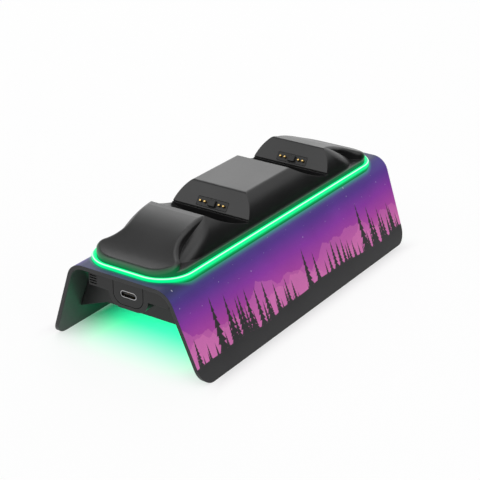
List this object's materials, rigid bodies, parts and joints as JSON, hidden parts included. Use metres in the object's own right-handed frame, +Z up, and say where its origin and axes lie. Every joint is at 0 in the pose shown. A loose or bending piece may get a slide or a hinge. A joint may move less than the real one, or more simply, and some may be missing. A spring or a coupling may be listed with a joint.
{
  "type": "controller charging dock",
  "caption": "Charging dock for game controllers: a folded printed cover carries a black cradle with dished seats, sloped faces with sprung contact pins, a lit ring and a power inlet.",
  "frame": {"origin": "bottom centre of the box round the dock, on the surface that the flaps stand on", "axes": "+Z up, +X along the dock away from the power inlet, +Y across to the far flap"},
  "size_m": [0.192, 0.0866, 0.0599],
  "materials": {
    "printed_cover": "satin print, violet to pink, on moulded sheet",
    "light_guide": "milky light guide, lit green",
    "black_plastic": "fine matt moulded texture",
    "insert_black": "smooth moulded insert",
    "contact_gold": "gold plated, polished",
    "barrel_brass": "turned",
    "circuit_board": "solder resist",
    "chip_black": "moulded package",
    "lamp_package": "small lamp package",
    "underglow_lens": "milky diffuser, lit green",
    "connector_steel": "drawn and plated",
    "connector_black": "moulded tongue",
    "screw_steel": "zinc plated",
    "lead_sleeve": "soft sleeve"
  },
  "bodies": {
    "dock": {"base_screws": "screw_steel", "base_tray": "black_plastic", "board_screws": "screw_steel", "contact_barrels_front": "barrel_brass", "contact_barrels_rear": "barrel_brass", "contact_block_front": "insert_black", "contact_block_rear": "insert_black", "contact_board_front": "circuit_board", "contact_board_rear": "circuit_board", "cover_plate": "printed_cover", "cradle_housing": "black_plastic", "harness_front": "lead_sleeve", "harness_rear": "lead_sleeve", "light_ring": "light_guide", "main_board": "circuit_board", "main_board_chips": "chip_black", "port_bezel": "black_plastic", "ring_board": "circuit_board", "ring_leds": "lamp_package", "underglow_board": "circuit_board", "underglow_leds": "lamp_package", "underglow_lens": "underglow_lens", "usb_shell": "connector_steel", "usb_tongue": "connector_black"},
    "contact_pin_front_1": {"contact_pin_front_1": "contact_gold"},
    "contact_pin_front_2": {"contact_pin_front_2": "contact_gold"},
    "contact_pin_front_3": {"contact_pin_front_3": "contact_gold"},
    "contact_pin_front_4": {"contact_pin_front_4": "contact_gold"},
    "contact_pin_rear_1": {"contact_pin_rear_1": "contact_gold"},
    "contact_pin_rear_2": {"contact_pin_rear_2": "contact_gold"},
    "contact_pin_rear_3": {"contact_pin_rear_3": "contact_gold"},
    "contact_pin_rear_4": {"contact_pin_rear_4": "contact_gold"}
  },
  "joints": [
    {"name": "press_front_1", "type": "slide", "parent": "dock", "child": "contact_pin_front_1", "axis": [0.8039, 0, -0.5948], "range_m": [0, 0.001], "stiffness_N_per_m": 600},
    {"name": "press_front_2", "type": "slide", "parent": "dock", "child": "contact_pin_front_2", "axis": [0.8039, 0, -0.5948], "range_m": [0, 0.001], "stiffness_N_per_m": 600},
    {"name": "press_front_3", "type": "slide", "parent": "dock", "child": "contact_pin_front_3", "axis": [0.8039, 0, -0.5948], "range_m": [0, 0.001], "stiffness_N_per_m": 600},
    {"name": "press_front_4", "type": "slide", "parent": "dock", "child": "contact_pin_front_4", "axis": [0.8039, 0, -0.5948], "range_m": [0, 0.001], "stiffness_N_per_m": 600},
    {"name": "press_rear_1", "type": "slide", "parent": "dock", "child": "contact_pin_rear_1", "axis": [0.8039, 0, -0.5948], "range_m": [0, 0.001], "stiffness_N_per_m": 600},
    {"name": "press_rear_2", "type": "slide", "parent": "dock", "child": "contact_pin_rear_2", "axis": [0.8039, 0, -0.5948], "range_m": [0, 0.001], "stiffness_N_per_m": 600},
    {"name": "press_rear_3", "type": "slide", "parent": "dock", "child": "contact_pin_rear_3", "axis": [0.8039, 0, -0.5948], "range_m": [0, 0.001], "stiffness_N_per_m": 600},
    {"name": "press_rear_4", "type": "slide", "parent": "dock", "child": "contact_pin_rear_4", "axis": [0.8039, 0, -0.5948], "range_m": [0, 0.001], "stiffness_N_per_m": 600}
  ]
}
